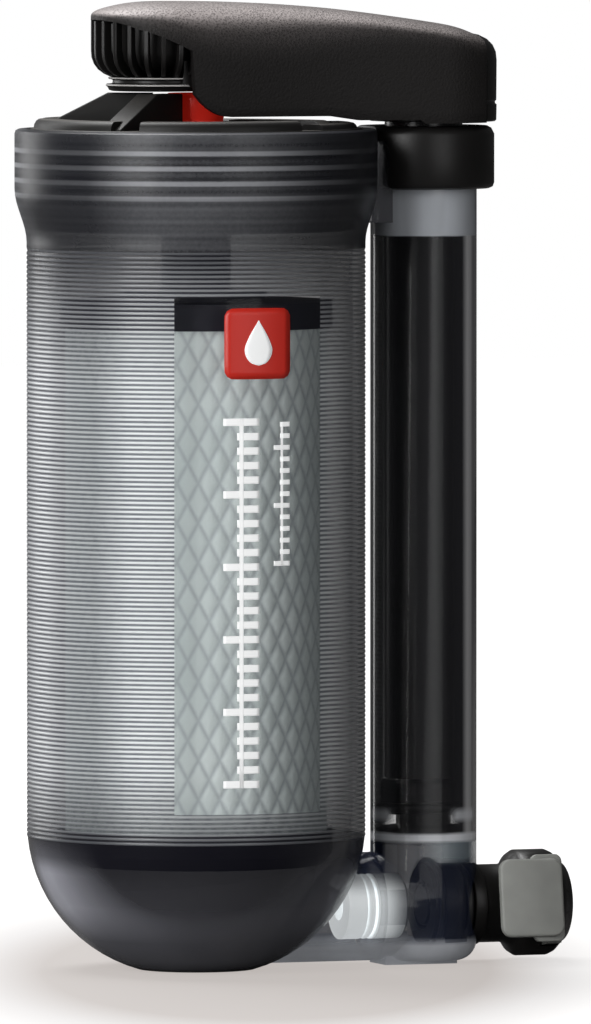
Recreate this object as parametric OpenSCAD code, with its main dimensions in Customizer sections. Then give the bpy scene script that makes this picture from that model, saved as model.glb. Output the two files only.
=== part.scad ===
// Hand-pumped water microfilter: a clear bowl with a screwed-in cap and cartridge, a slim
// pump cylinder beside it, a swinging pump handle and a push-latch inlet coupling.
// Millimetres. +Z is up, +X runs from the bowl to the pump, -Y is the labelled front.
// The origin is the middle of the bowl's flat foot.

/* [Bowl] */
// Outer radius of the bowl's straight body
body_r = 28.9; // [28.8:0.05:29.0]
// Outer radius of the rim round the bowl's mouth
rim_r = 30.9; // [30.85:0.01:30.9]
// Height of the rim's top face
rim_top = 143.2; // [143.0:0.05:143.2]
// Wall of the bowl
bowl_wall = 2.2; // [2.0:0.1:2.4]
// Radius of the curve that rounds the bowl's bottom
dome_r = 26; // [25.8:0.1:26.2]

/* [Pump] */
// Distance from the bowl's axis to the pump's axis
pump_x = 41.3; // [41.2:0.05:41.4]
// Outer radius of the pump cylinder
tube_r = 9.1; // [9.0:0.05:9.15]
// Bore radius of the pump cylinder
tube_bore = 7.6; // [7.55:0.05:7.6]
// Radius of the hollow pump rod
rod_r = 6.65; // [6.6:0.01:6.65]

/* [Inlet] */
// Height of the inlet channel's axis
inlet_z = 9.9; // [9.8:0.05:10.0]
// Turn of the inlet coupling about its own axis, which tips the latch pad upwards
latch_roll = 8; // [0:1:12]
// Bore radius of both hose sockets
hose_r = 4; // [3.9:0.05:4.0]

/* [Cartridge] */
// Number of pleats in the filter media
pleats = 44; // [36:1:52]

/* [Hidden] */
$fn = 64;

e = 0.01;                         // overshoot of cuts
gap = 0.05;                       // running gap of a fit
body_base = dome_r - 1;           // height where the dome meets the straight body
foot_r = body_r - dome_r + sqrt(pow(dome_r, 2) - pow(body_base, 2));
bowl_floor = 2.4;                 // height of the bowl's inner floor
shoulder_low = 123;
shoulder_high = 133;
bowl_bore = body_r - bowl_wall;
neck_bore = 27.3;                 // bore that the cap's plug enters
mouth_bore = 28.6;                // recess that the cap's flange drops into
mouth_low = 141;
thread_pitch = 2.55;
thread_z = [for (i = [0:2]) 133.1 + i * thread_pitch];
thread_depth = 0.85;
channel_r = 9.3;                  // outer radius of the inlet and transfer channel
channel_left = 31.5;              // where the pump's channel butts on the bowl's boss
foot_low = 0.5;                   // underside of the cylinder, just above its foot pad
foot_round = 3.4;
valve_bore = 5.6;                 // bore that holds the outlet valve's cage
seat_bore = 7.1;                  // bore that holds the inlet valve and the coupling's spigot
chamber_low = 36.5;
chamber_high = 41;
tube_floor = 20.5;
tube_top = 141;
spigot_low = 124.9;               // where the bracket's ring starts on the cylinder
spigot_r = 8.35;

lug_top = 145.0;                  // cap lugs, which the handle's front wall swings over
arm_top = 149.0;                  // cap arms, under the handle's floor
cap_flange_top = 143.4;
collar_top = 149.3;

handle_left = -6.15;              // centre of the handle's round left end
handle_left_r = 12.1;
handle_right_r = 12.6;
cover_wall = 1.6;
cover_end = 49.2;                 // where the cover stops, short of the core's right end
rim_z = 156.3;                    // where the cover's crown meets its walls
rim_rise = 0.4;                   // rise of that rim per millimetre towards the left tip
wall_end = -4.7;                  // where the cover's side walls stop
clear_z = 149.7;                  // lowest that the handle may hang over the cap
wall_low = 145.4;                 // lower edge of the cover's front wall, over the cap's lugs

// Shared shapes.

function lerp(a, b, t) = a + (b - a) * t;
function ease(t) = t * t * (3 - 2 * t);
function clamp01(t) = min(1, max(0, t));

module at_pump(z = 0) { translate([pump_x, 0, z]) children(); }
module along_x(x, z = inlet_z) { translate([x, 0, z]) rotate([0, 90, 0]) children(); }
module rolled() { translate([0, 0, inlet_z]) rotate([-latch_roll, 0, 0]) children(); }

module ring(outer, inner, height) {
    difference() {
        cylinder(r = outer, h = height);
        translate([0, 0, -e]) cylinder(r = inner, h = height + 2 * e);
    }
}

module rounded_pad(width, height, corner) {
    square([width, height - 2 * corner], center = true);
    square([width - 2 * corner, height], center = true);
    for (x = [-1, 1], y = [-1, 1])
        translate([x * (width / 2 - corner), y * (height / 2 - corner)]) circle(r = corner);
}

module o_ring(middle, section) {
    rotate_extrude() translate([middle, 0]) circle(r = section, $fn = 32);
}

// A coil spring of round wire, standing on z = 0.
module coil(radius, wire, turns, height) {
    sides = 6;
    steps = turns * 14;
    points = [for (i = [0:steps]) let (a = 360 * turns * i / steps, z = wire + (height - 2 * wire) * i / steps)
        for (j = [0:sides - 1]) let (b = 360 * j / sides, r = radius + wire * cos(b))
            [r * cos(a), r * sin(a), z + wire * sin(b)]];
    quads = [for (i = [0:steps - 1], j = [0:sides - 1]) let (k = (j + 1) % sides)
        [i * sides + j, (i + 1) * sides + j, (i + 1) * sides + k, i * sides + k]];
    polyhedron(points, concat(quads, [[for (j = [0:sides - 1]) j],
        [for (j = [sides - 1:-1:0]) steps * sides + j]]));
}

// Bowl.

module dome_profile(radius, low) {
    intersection() {
        translate([body_r - dome_r, body_base]) circle(r = radius, $fn = 128);
        translate([0, low]) square([body_r, body_base - low]);
    }
}

// Shoulder and rim, grown sideways by a clearance where another piece is cut to fit them.
module rim_outline(grow = 0) {
    polygon(concat([[0, shoulder_low]],
        [for (i = [0:8]) [lerp(body_r, rim_r, ease(i / 8)) + grow,
            lerp(shoulder_low, shoulder_high, i / 8)]],
        [[rim_r + grow, rim_top - 0.6], [rim_r - 0.6, rim_top + grow], [0, rim_top + grow]]));
}

module bowl_outline() {
    dome_profile(dome_r, 0);
    translate([0, body_base]) square([body_r, rim_top - body_base]);
    rim_outline();
}

module bowl_hollow() {
    dome_profile(dome_r - bowl_wall, bowl_floor);
    translate([0, body_base]) square([bowl_bore, rim_top]);
    translate([0, shoulder_low + 2]) square([neck_bore, rim_top]);
    translate([0, mouth_low]) square([mouth_bore, rim_top]);
    for (z = thread_z) translate([0, z - 0.75]) square([neck_bore + thread_depth, 1.5]);
}

module bowl() {
    color("#5a6070", 0.5) difference() {
        union() {
            rotate_extrude($fn = 128) bowl_outline();
            along_x(9) cylinder(r = channel_r, h = channel_left - 9);
        }
        rotate_extrude($fn = 128) bowl_hollow();
        along_x(25.5) cylinder(r = valve_bore, h = 10);
        along_x(17) cylinder(r = 3, h = 10);
    }
}

// Pump cylinder and its bracket.

// Half section of the cylinder's closed foot, up to the straight wall.
module foot_profile() {
    polygon(concat([[0, 0]], [for (i = [0:8]) let (a = 90 * i / 8)
        [tube_r - foot_round * (1 - sin(a)), foot_round * (1 - cos(a))]], [[0, foot_round]]));
}

module pump_cylinder() {
    color("#6a707a", 0.5) difference() {
        union() {
            at_pump(foot_low + foot_round) cylinder(r = tube_r, h = spigot_low - foot_low - foot_round);
            at_pump(foot_low) rotate_extrude($fn = 96) foot_profile();
            at_pump(spigot_low - e) cylinder(r = spigot_r, h = tube_top - spigot_low + e);
            along_x(channel_left) cylinder(r = channel_r, h = pump_x - channel_left);
            translate([33, -4, 0]) cube([13, 8, 2]);
        }
        at_pump(tube_floor) cylinder(r = tube_bore, h = tube_top);
        along_x(channel_left - 1) cylinder(r = valve_bore, h = chamber_low - channel_left + 1);
        along_x(chamber_low - e) cylinder(r = 4.4, h = chamber_high - chamber_low + 2 * e);
        along_x(chamber_high) cylinder(r = seat_bore, h = 20);
        along_x(41.5) ring(8.2, seat_bore - 0.1, 1.3);
        translate([38.6, 0, inlet_z]) cylinder(r = 1.9, h = tube_floor);
    }
}

module cylinder_bracket() {
    color("#7c828c", 0.6) difference() {
        union() {
            at_pump(spigot_low) cylinder(r = tube_r, h = tube_top - spigot_low);
            translate([29.5, -5.2, 127]) cube([6, 10.4, 13.9]);
        }
        at_pump(spigot_low - 1) cylinder(r = spigot_r + gap, h = tube_top);
        rotate_extrude($fn = 128) rim_outline(gap);
    }
}

module transfer_seal() {
    color("#141414") along_x(30.2) o_ring(4.77, 0.78);
}

// Cap and outlet.

module cap_lug(azimuth, span, low_r = 22.6) {
    rotate([0, 0, azimuth - 90 - span / 2]) rotate_extrude(angle = span)
        polygon([[low_r, cap_flange_top - e], [27.6, cap_flange_top - e],
            [27.2, lug_top - 0.5], [26.6, lug_top], [low_r + 0.5, lug_top]]);
}

// One radial arm: its top runs level from the middle, then slopes down to the cap's edge.
module cap_arm(azimuth, top) {
    slope = 0.5;
    rotate([0, 0, azimuth - 90]) rotate([90, 0, 0]) translate([0, 0, -2.1]) linear_extrude(4.2)
        polygon([[7.4, cap_flange_top - e], [26.4, cap_flange_top - e],
            [26.4 - (top - cap_flange_top) / slope * 0.95, top], [7.4, top]]);
}

module filter_cap() {
    color("#1d1c1b") difference() {
        union() {
            translate([0, 0, mouth_low + 0.1]) cylinder(r = 28.4, h = cap_flange_top - mouth_low - 0.1);
            translate([0, 0, 126]) cylinder(r = neck_bore - 0.25, h = mouth_low - 126 + 0.2);
            for (z = thread_z) translate([0, 0, z - 0.45]) cylinder(r = neck_bore + 0.55, h = 0.9);
            for (i = [0:4]) cap_lug(-9.5 + 72 * i, 61);
            for (a = [-53, -112]) cap_arm(a, arm_top);
            for (a = [43, 115, 180]) cap_arm(a, lug_top - 0.05);
            translate([0, 0, 121]) cylinder(r = 9, h = 20);
        }
        translate([0, 0, 120]) ring(23.5, 9, 19);
        translate([0, 0, 120]) cylinder(r = 6.2, h = 12);
        translate([0, 0, 131]) cylinder(r = 3, h = 20);
        translate([0, 0, 133.5]) cylinder(r = 7, h = 20);
        translate([0, 0, 128]) difference() {
            cylinder(r = neck_bore + 1, h = 2.2);
            translate([0, 0, -e]) cylinder(r = 25.4, h = 3);
        }
    }
}

module cap_seal() {
    color("#141414") translate([0, 0, 129.1]) o_ring(26.35, 0.88);
}

module outlet_socket() {
    color("#262524") difference() {
        union() {
            translate([0, 0, 133.5]) cylinder(r = 6.95, h = 9.9);
            translate([0, 0, 143.4]) cylinder(r = 7.3, h = 0.5);
        }
        translate([0, 0, 135.5]) cylinder(r = 5.4, h = 10);
        translate([0, 0, 133]) cylinder(r = 3, h = 4);
    }
}

module outlet_seal() {
    color("#141414") translate([0, 0, 135.55]) ring(5.3, hose_r, 1.6);
}

module outlet_spring() {
    color("#b8bcc0") translate([0, 0, 137.2]) coil(4.75, 0.25, 4, 3.1);
}

// Release collar: pressed down, it frees the hose tail. Its rim stands proud under the handle.
module outlet_collar() {
    color("#d01818") difference() {
        union() {
            translate([0, 0, 140.4]) cylinder(r = 5.3, h = 3.8);
            translate([0, 0, 144]) cylinder(r = 4.55, h = 1.5);
            rotate_extrude() polygon([[0, 145.0], [4.55, 145.0], [4.75, 146.6], [5.2, 148.4],
                [5.25, 148.9], [4.9, 149.2], [4.5, collar_top], [0, collar_top]]);
        }
        translate([0, 0, 140]) cylinder(r = hose_r, h = 10);
    }
}

// Filter cartridge.

module cartridge_top_cap() {
    color("#20222c") difference() {
        union() {
            translate([0, 0, 111]) cylinder(r = 23.2, h = 3);
            translate([0, 0, 109.5]) ring(23.2, 22.75, 2);
            translate([0, 0, 113]) cylinder(r = 12, h = 2.5);
            translate([0, 0, 114]) cylinder(r = 5.9, h = 14.5);
        }
        translate([0, 0, 108]) cylinder(r = 3.2, h = 30);
        translate([0, 0, 124.2]) ring(7, 4.7, 2);
    }
}

module cartridge_media() {
    outer = 21.4;
    inner = 13.2;
    color("#eef1ee") translate([0, 0, 22.6]) linear_extrude(88.3) difference() {
        polygon([for (i = [0:2 * pleats - 1]) let (r = i % 2 == 0 ? outer : inner, a = 180 * i / pleats)
            [r * cos(a), r * sin(a)]]);
        circle(r = 11.2);
    }
}

module cartridge_core() {
    color("#c9ced2") difference() {
        translate([0, 0, 22.6]) ring(11, 9.6, 88.3);
        for (z = [32:14:102], a = [0:90:270]) translate([0, 0, z]) rotate([0, 90, a]) cylinder(r = 2.5, h = 14);
    }
}

module cartridge_bottom_cap() {
    color("#20222c") difference() {
        union() {
            translate([0, 0, 18]) cylinder(r1 = 21.5, r2 = 23.2, h = 2);
            translate([0, 0, 20]) cylinder(r = 23.2, h = 2.5);
            translate([0, 0, 22.4]) ring(23.2, 22.75, 1.6);
        }
        translate([0, 0, 17]) ring(17, 6, 3);
    }
}

module cartridge_netting() {
    color("#e8eceb") translate([0, 0, 22.6]) ring(22.65, 21.7, 88.3);
}

module cartridge_seal() {
    color("#141414") translate([0, 0, 125.2]) o_ring(5.45, 0.72);
}

// Pump top.

module rod_bush() {
    color("#c6cad0") at_pump(125.2) difference() {
        cylinder(r = tube_bore - 0.02, h = 13.6);
        translate([0, 0, -1]) cylinder(r = rod_r + 0.07, h = 20);
    }
}

module rod_wiper() {
    color("#141414") at_pump(138.9) ring(tube_bore - 0.02, rod_r + 0.06, 1.6);
}

// Retaining collar, with a C-shaped skirt that leaves room for the bracket and the bowl's rim.
module pump_collar() {
    color("#211f1e") difference() {
        at_pump(0) rotate_extrude($fn = 96) difference() {
            polygon([[rod_r + 0.1, 132.7], [11.2, 132.7], [11.85, 133.0], [12.1, 133.7],
                [12.1, 142.0], [11.6, 143.0], [10.9, 143.4], [rod_r + 0.1, 143.4]]);
            square([tube_r + 0.06, tube_top + 0.05]);
        }
        translate([20, -7.6, 130]) cube([14.6, 15.2, 11.05]);
        translate([31, -7.9, 136.4]) cube([4.7, 15.8, 3.4]);
        translate([0, 0, 130]) cylinder(r = rim_r + 0.3, h = 20);
    }
}

// Inlet valve.

module inlet_valve_seat() {
    color("#1a1a1c") difference() {
        along_x(chamber_high + 0.05) cylinder(r = seat_bore - 0.03, h = 4.1);
        along_x(chamber_high - 1) cylinder(r = 2.2, h = 10);
        along_x(chamber_high - 1) cylinder(r = 4.2, h = 2.4);
    }
}

module inlet_valve_seal() {
    color("#0d0d0f") along_x(42.15) o_ring(7.63, 0.51);
}

// Poppet that the suction stroke lifts off its seat, towards the chamber.
module inlet_valve_poppet() {
    color("#d8dade") {
        along_x(40.9) cylinder(r1 = 3.4, r2 = 3.6, h = 1.35);
        along_x(42.2) cylinder(r = 1.4, h = 6.4);
        along_x(48.55) cylinder(r = 2.1, h = 0.6);
    }
}

module inlet_valve_spring() {
    color("#b8bcc0") along_x(45.2) coil(1.9, 0.2, 4, 3.3);
}

// Outlet valve, which also joins the pump's channel to the bowl.

module outlet_valve_cage() {
    color("#e6e8ea") difference() {
        along_x(25.8) cylinder(r = valve_bore - 0.04, h = 10.5);
        along_x(27.3) cylinder(r = 3.9, h = 7.2);
        along_x(25) cylinder(r = 2.3, h = 12);
        along_x(29.2) ring(8, 3.95, 2);
    }
}

module outlet_valve_poppet() {
    color("#c8ccd0") {
        along_x(32.9) cylinder(r1 = 3.0, r2 = 3.3, h = 1.5);
        along_x(30.4) cylinder(r = 1.3, h = 2.6);
    }
}

module outlet_valve_spring() {
    color("#b8bcc0") along_x(27.4) coil(1.8, 0.2, 5, 5.3);
}

module outlet_valve_retainer() {
    color("#8f959c") along_x(36.35) difference() {
        cylinder(r = 4.3, h = 0.9);
        translate([0, 0, -1]) cylinder(r = 2.4, h = 4);
    }
}

// Inlet coupling.

module coupling_outline() {
    polygon([[0, 45.2], [7.05, 45.2], [7.05, 50.5], [6.7, 50.7], [6.7, 55.2], [7.2, 56.3], [8.6, 57.2], [9.1, 58.0],
        [9.1, 63.2], [8.7, 64.1], [7.9, 64.9], [7.2, 65.6], [6.8, 66.2], [0, 66.2]]);
}

// A plate across the coupling with a half-round far end: starts at x, middle of its round end at y.
module plate(x, thickness, radius, y, low) {
    translate([x, 0, 0]) rotate([90, 0, 90]) linear_extrude(thickness) {
        translate([y, 0]) circle(r = radius);
        translate([low, -radius]) square([y - low, 2 * radius]);
    }
}

module coupling_body() {
    color("#171615") difference() {
        along_x(0) rotate_extrude($fn = 96) coupling_outline();
        along_x(54) cylinder(r = hose_r, h = 20);
        along_x(44) cylinder(r = 2.6, h = 12);
        along_x(46.6) ring(8, 5.7, 1.9);
        along_x(54.4) cylinder(r = 5.1, h = 1.6);
        rolled() {
            plate(60.6, 3.1, 7.9, 0.4, -12);
            translate([51.2, -13, -7.6]) cube([12.4, 5.7, 15.2]);
        }
    }
}

module coupling_seal() {
    color("#0d0d0f") along_x(47.55) o_ring(6.4, 0.66);
}

module coupling_lip_seal() {
    color("#0d0d0f") along_x(54.45) ring(5.05, hose_r, 1.5);
}

// Pad and plate in one piece: the plate's long hole lets the hose tail through at both ends of its travel.
module latch_plate() {
    color("#85877f") rolled() {
        difference() {
            plate(60.9, 2.5, 7.6, -1.6, -9.6);
            for (y = [0, -1.8]) translate([60, y, 0]) rotate([0, 90, 0]) cylinder(r = hose_r + 0.15, h = 5);
            translate([60, -1.8, -hose_r - 0.15]) cube([5, 1.8, 2 * hose_r + 0.3]);
        }
        translate([57.3, -9.5, 0]) rotate([90, 0, 0]) linear_extrude(1.5) rounded_pad(11.4, 13.6, 2.6);
    }
}

module latch_spring() {
    color("#b8bcc0") rolled() translate([62.15, 6.05, 0]) rotate([-90, 0, 0]) coil(0.9, 0.18, 3, 2.2);
}

// Piston.

module piston_head() {
    color("#1b1b1c") at_pump() difference() {
        rotate_extrude() polygon([[0, 21.6], [7.0, 21.6], [7.35, 22.0], [7.35, 23.4], [4.7, 23.8], [4.7, 25.6],
            [7.3, 25.7], [7.3, 25.9], [5.9, 25.9], [5.9, 27.7], [7.3, 27.7], [7.3, 31.1], [6.9, 31.45],
            [4.95, 31.45], [4.95, 41], [4.4, 41.6], [0, 41.6]]);
        translate([0, 0, 36]) ring(7, 4.3, 1.2);
    }
}

module piston_seal() {
    color("#0d0d0f") at_pump(26.8) o_ring(6.72, 0.83);
}

module piston_clip() {
    color("#9aa0a6") at_pump(36.1) ring(5.4, 4.35, 1.0);
}

module pump_rod() {
    color("#1c1c1d") at_pump() difference() {
        translate([0, 0, 31.8]) cylinder(r = rod_r, h = 156.3 - 31.8);
        translate([0, 0, 30]) cylinder(r = 5, h = 14);
        translate([0, 0, 35.75]) cylinder(r = 5.75, h = 1.7);
        translate([0, 0, 46]) cylinder(r = 5.1, h = 108);
        translate([0, 20, 151]) rotate([90, 0, 0]) cylinder(r = 1.55, h = 40);
    }
}

module rod_end_plug() {
    color("#262524") at_pump(156.35) cylinder(r = 6.5, h = 0.65);
}

// Handle.

// Half width of the handle's plan outline at a place along X.
function plan_w(x) =
    x < handle_left ? sqrt(max(0, pow(handle_left_r, 2) - pow(x - handle_left, 2)))
    : x > pump_x ? sqrt(max(0, pow(handle_right_r, 2) - pow(x - pump_x, 2)))
    : let (t = (x - handle_left) / (pump_x - handle_left))
        lerp(handle_left_r, handle_right_r, t) - 1.2 * pow(sin(180 * t), 2);
// Share of the way from the crown's line to the outline: 0 on the line, 1 at the rim.
function rim_share(x, y) =
    x < handle_left ? norm([x - handle_left, y]) / handle_left_r
    : x > pump_x ? norm([x - pump_x, y]) / handle_right_r
    : abs(y) / plan_w(x);
function crown_top(x) = 164.7 - 0.0055 * pow(max(0, x + 10), 1.7);
function rim_at(x) = rim_z + rim_rise * max(0, wall_end - x);
function crown(x, y) = let (top = crown_top(x), s = min(1, rim_share(x, y)))
    top - (top - rim_at(x)) * (1 - pow(max(0, 1 - pow(s, 2.3)), 1 / 2.3));
// Lower edge of the cover's front wall, and of its back wall, which is cut higher to swing over the outlet.
function front_low(x) = let (s = pump_x - x)
    x < wall_end ? rim_at(x) - 2
    : norm([s, plan_w(x)]) < 13.3 ? 143.8
    : s < 38.8 ? wall_low
    : lerp(wall_low, clear_z, pow(clamp01((s - 38.8) / 7.2), 2));
function back_low(x) = let (s = pump_x - x)
    x < wall_end ? rim_at(x) - 2
    : norm([s, plan_w(x)]) < 13.3 ? 143.8 : clear_z;

// Ceiling of the cover's hollow, which closes down to the walls' lower edge behind the left tip.
function ceiling(x, y) = let (low = rim_at(x) - 1.85)
    lerp(low, crown(x, y) - cover_wall, ease(clamp01((x - handle_left + handle_left_r - 1.2) / 2.4)));

// Section of the cover at x, as a ring with as many points outside, over the crown, as inside it.
function cover_ring(x) = let (w = plan_w(x), n = 16, inside = max(0.25, (w - cover_wall) / w)) concat(
    [[x, -w, front_low(x)]],
    [for (i = [0:n]) let (y = -w * cos(180 * i / n)) [x, y, crown(x, y)]],
    [[x, w, back_low(x)], [x, w * inside, back_low(x)]],
    [for (i = [n:-1:0]) let (y = -w * cos(180 * i / n)) [x, y * inside, ceiling(x, y)]],
    [[x, -w * inside, front_low(x)]]);

// Skin through a row of such rings, with strips from outside to inside across both ends.
module loft(rings) {
    n = len(rings[0]);
    last = (len(rings) - 1) * n;
    sides = [for (i = [0:n:last - n], j = [0:n - 1]) let (k = (j + 1) % n)
        each [[i + j, i + k, i + n + k], [i + j, i + n + k, i + n + j]]];
    ends = [for (j = [0:n / 2 - 2]) let (a = j + 1, b = n - 2 - j, c = n - 1 - j)
        each [[j, b, a], [j, c, b], [last + j, last + a, last + b], [last + j, last + b, last + c]]];
    polyhedron([for (r = rings) each r], concat(sides, ends), convexity = 6);
}

// Places of the cover's sections: close together round the left end and at the steps in its walls.
cover_x = concat([for (a = [85, 80, 74, 65, 56, 47, 38, 29, 20, 11]) handle_left - handle_left_r * sin(a)],
    [wall_end - 0.3, wall_end + 0.05, -3.5, -1.5, 0.5, 2.5, 6, 12, 18, 24, 30],
    [34.0, 34.5, 37.5, 41.3, 44, 46.5, cover_end]);

module handle_cover() {
    color("#2b2928") loft([for (x = cover_x) cover_ring(x)]);
}

// Everything under the cover's tilted rim, with a small gap.
module below_rim() {
    angle = atan(rim_rise);
    translate([wall_end, 0, rim_z - 1.2]) rotate([0, angle, 0]) translate([-40, -30, -40]) cube([80, 60, 40]);
}

// Round left end that the radial fins are cut from: its sides curve in under the fingers.
module fin_envelope() {
    translate([handle_left, 0, 0]) rotate_extrude() {
        intersection() {
            translate([4.4, 160.2]) circle(r = 7.3, $fn = 64);
            translate([0, 150]) square([20, 10.2]);
        }
        translate([0, 152.9]) square([4.4, 7.3]);
    }
}

module left_fins() {
    intersection() {
        fin_envelope();
        below_rim();
        translate([handle_left, 0, 0]) union() {
            for (a = [-115:18.5:115]) rotate([0, 0, 180 + a]) translate([0, -0.35, 140]) cube([14, 0.7, 30]);
            for (s = [-1, 1]) rotate([0, 0, -s * 90 - (s > 0 ? 22 : 0)])
                translate([0, 0, 140]) rotate_extrude(angle = 22) square([11.4, 30]);
            translate([0, 0, 140]) cylinder(r = 8, h = 30);
        }
    }
    translate([handle_left, 0, clear_z]) cylinder(r1 = 8.9, r2 = 9.35, h = 0.9);
    translate([handle_left, 0, clear_z]) cylinder(r = 7.2, h = 4);
    translate([handle_left, 0, 151.3]) cylinder(r1 = 10.0, r2 = 10.4, h = 0.8);
}

module handle_core() {
    color("#1a1918") difference() {
        union() {
            left_fins();
            intersection() {
                translate([handle_left, -7.6, 151]) cube([pump_x - handle_left, 15.2, 4.4]);
                translate([-20, -20, 140]) cube([80, 40, 30]);
            }
            at_pump(144.2) cylinder(r = 9.2, h = 11.2);
            intersection() {
                union() {
                    at_pump(144.1) cylinder(r = 12.5, h = 11);
                    at_pump(155.1) cylinder(r1 = 12.5, r2 = 10, h = 2.4);
                }
                translate([cover_end + 0.15, -20, 140]) cube([20, 40, 30]);
            }
        }
        at_pump(140) cylinder(r = rod_r + 0.02, h = 20);
        translate([pump_x, 20, 151]) rotate([90, 0, 0]) cylinder(r = 1.55, h = 40);
        translate([52.9, -5, 147.5]) cube([5, 10, 8]);
    }
}

module handle_pin() {
    color("#9aa0a6") translate([pump_x, 9, 151]) rotate([90, 0, 0]) cylinder(r = 1.5, h = 18);
}

bowl();
pump_cylinder();
cylinder_bracket();
transfer_seal();
filter_cap();
cap_seal();
outlet_socket();
outlet_seal();
outlet_spring();
outlet_collar();
cartridge_top_cap();
cartridge_media();
cartridge_core();
cartridge_bottom_cap();
cartridge_netting();
cartridge_seal();
rod_bush();
rod_wiper();
pump_collar();
inlet_valve_seat();
inlet_valve_seal();
inlet_valve_poppet();
inlet_valve_spring();
outlet_valve_cage();
outlet_valve_poppet();
outlet_valve_spring();
outlet_valve_retainer();
coupling_body();
coupling_seal();
coupling_lip_seal();
latch_plate();
latch_spring();
piston_head();
piston_seal();
piston_clip();
pump_rod();
rod_end_plug();
handle_core();
handle_cover();
handle_pin();
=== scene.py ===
import math

import bmesh
import bpy
from mathutils import Matrix, Vector


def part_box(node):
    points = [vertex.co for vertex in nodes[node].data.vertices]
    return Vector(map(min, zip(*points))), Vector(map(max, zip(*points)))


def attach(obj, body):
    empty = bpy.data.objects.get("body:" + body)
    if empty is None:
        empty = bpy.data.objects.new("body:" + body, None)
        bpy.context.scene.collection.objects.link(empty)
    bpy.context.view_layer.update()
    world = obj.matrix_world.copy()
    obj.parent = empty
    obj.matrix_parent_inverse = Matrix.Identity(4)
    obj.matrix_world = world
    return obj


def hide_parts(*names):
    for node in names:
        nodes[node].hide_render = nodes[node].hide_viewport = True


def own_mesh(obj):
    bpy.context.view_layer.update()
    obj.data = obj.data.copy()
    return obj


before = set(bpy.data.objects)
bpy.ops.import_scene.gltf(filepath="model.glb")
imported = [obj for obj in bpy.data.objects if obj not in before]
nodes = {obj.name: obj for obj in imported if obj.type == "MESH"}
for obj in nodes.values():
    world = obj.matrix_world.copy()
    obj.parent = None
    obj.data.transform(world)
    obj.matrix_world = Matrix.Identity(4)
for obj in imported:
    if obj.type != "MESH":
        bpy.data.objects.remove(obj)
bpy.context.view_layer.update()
mm = 0.001

# places that several pieces share, read from the frame
rodLow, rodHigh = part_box("pump_rod")
couplingLow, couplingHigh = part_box("coupling_body")
pumpX = (rodLow.x + rodHigh.x) / 2 / mm             # the pump's upright axis
portZ = (couplingLow.z + couplingHigh.z) / 2 / mm   # height of the inlet's level axis
print("frame read")


# helpers

class Wire:
    # one output of a node, with the sums that shader maths needs
    def __init__(self, shader, node, output=0):
        self.shader, self.node, self.output = shader, node, output

    def pick(self, output):
        return Wire(self.shader, self.node, output)

    def maths(self, operation, *values, clamp=False):
        settings = {"operation": operation, "use_clamp": clamp}
        return self.shader.add("Math", settings, dict(enumerate(values)))

    def __add__(self, other):
        return self.maths("ADD", self, other)

    def __sub__(self, other):
        return self.maths("SUBTRACT", self, other)

    def __mul__(self, other):
        return self.maths("MULTIPLY", self, other)

    def __truediv__(self, other):
        return self.maths("DIVIDE", self, other)

    def __pow__(self, other):
        return self.maths("POWER", self, other)

    def __radd__(self, other):
        return self.maths("ADD", other, self)

    def __rsub__(self, other):
        return self.maths("SUBTRACT", other, self)

    def __rmul__(self, other):
        return self.maths("MULTIPLY", other, self)

    def sine(self):
        return self.maths("SINE", self)

    def size(self):
        return self.maths("ABSOLUTE", self)

    def over(self, edge, soft):
        # 0 below the edge and 1 above it, over a soft width
        return self.maths("MULTIPLY_ADD", self, 1 / soft, 0.5 - edge / soft, clamp=True)

    def clamped(self):
        return self.maths("ADD", self, 0.0, clamp=True)


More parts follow.
